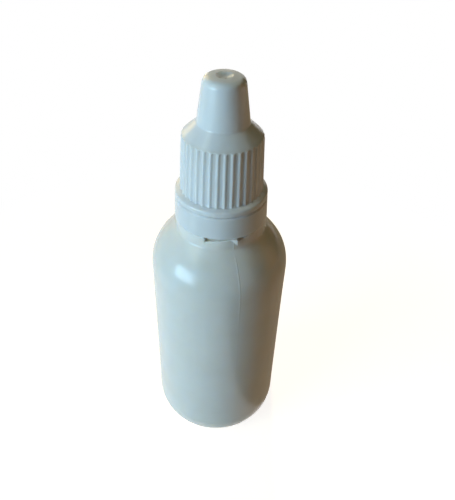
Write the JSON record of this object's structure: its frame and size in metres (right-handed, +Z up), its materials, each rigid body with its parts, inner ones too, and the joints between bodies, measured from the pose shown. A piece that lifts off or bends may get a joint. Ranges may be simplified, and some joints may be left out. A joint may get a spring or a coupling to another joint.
{
  "type": "eye drop bottle",
  "caption": "Round squeezable dropper bottle with a pressed-in nozzle plug, a ribbed screw cap with a tall nose, and a tamper band under the cap.",
  "frame": {"origin": "centre of the base, on the surface that the bottle stands on", "axes": "+Z up along the bottle's axis, towards the cap; -Y is the front, where the two ramped notches in the collar are"},
  "size_m": [0.032, 0.032, 0.0976],
  "materials": {
    "bottle_plastic": "blow-moulded white low-density polyethylene, softly glossy",
    "plug_plastic": "injection-moulded natural low-density polyethylene, milky",
    "cap_plastic": "injection-moulded white high-density polyethylene, satin gloss"
  },
  "bodies": {
    "bottle": {"bottle": "bottle_plastic", "dropper_plug": "plug_plastic"},
    "tamper_band": {"tamper_band": "cap_plastic"},
    "cap": {"cap": "cap_plastic"}
  },
  "joints": [
    {"name": "cap_turn", "type": "hinge", "parent": "bottle", "child": "tamper_band", "pos_m": [0, 0, 0.0687], "axis": [0, 0, 1], "range_deg": [0, 630]},
    {"name": "cap_rise", "type": "slide", "parent": "tamper_band", "child": "cap", "axis": [0, 0, 1], "range_m": [0, 0.00526]}
  ],
  "couplings": [
    {"joint": "cap_rise", "follows": "cap_turn", "m_per_rad": 0.00047746}
  ]
}
